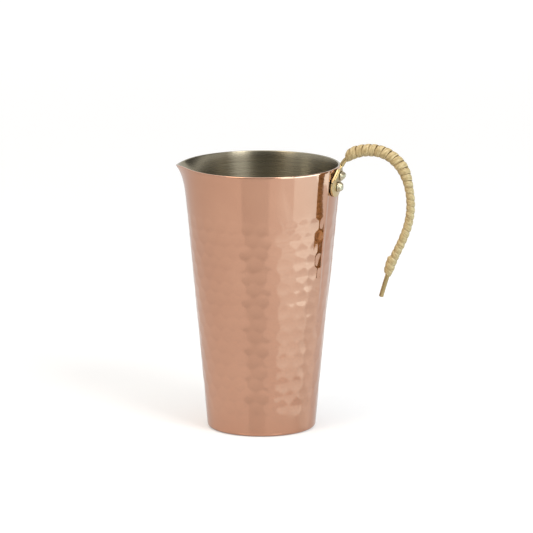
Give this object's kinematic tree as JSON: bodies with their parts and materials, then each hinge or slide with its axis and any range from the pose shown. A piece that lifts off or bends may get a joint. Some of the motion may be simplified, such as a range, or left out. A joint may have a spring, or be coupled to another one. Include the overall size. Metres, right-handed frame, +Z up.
{
  "type": "sake warmer",
  "caption": "Tapered copper sake warmer with a small pressed pouring lip and a riveted brass hook handle wound with rattan, for warming a drink in hot water.",
  "frame": {"origin": "middle of the flat base, on the surface that the cup stands on", "axes": "+Z up along the cup's axis, +X towards the handle, -X towards the pouring lip"},
  "size_m": [0.1194, 0.0766, 0.1424],
  "materials": {
    "copper": "polished",
    "brass": "polished",
    "rattan_core": "matte",
    "rattan_skin": "satin"
  },
  "bodies": {
    "root": {"cup_body": "copper", "handle_base_plate": "brass", "handle_rod": "brass", "upper_rivet": "brass", "lower_rivet": "brass", "rattan_filler": "rattan_core", "rattan_winding": "rattan_skin"}
  },
  "joints": []
}
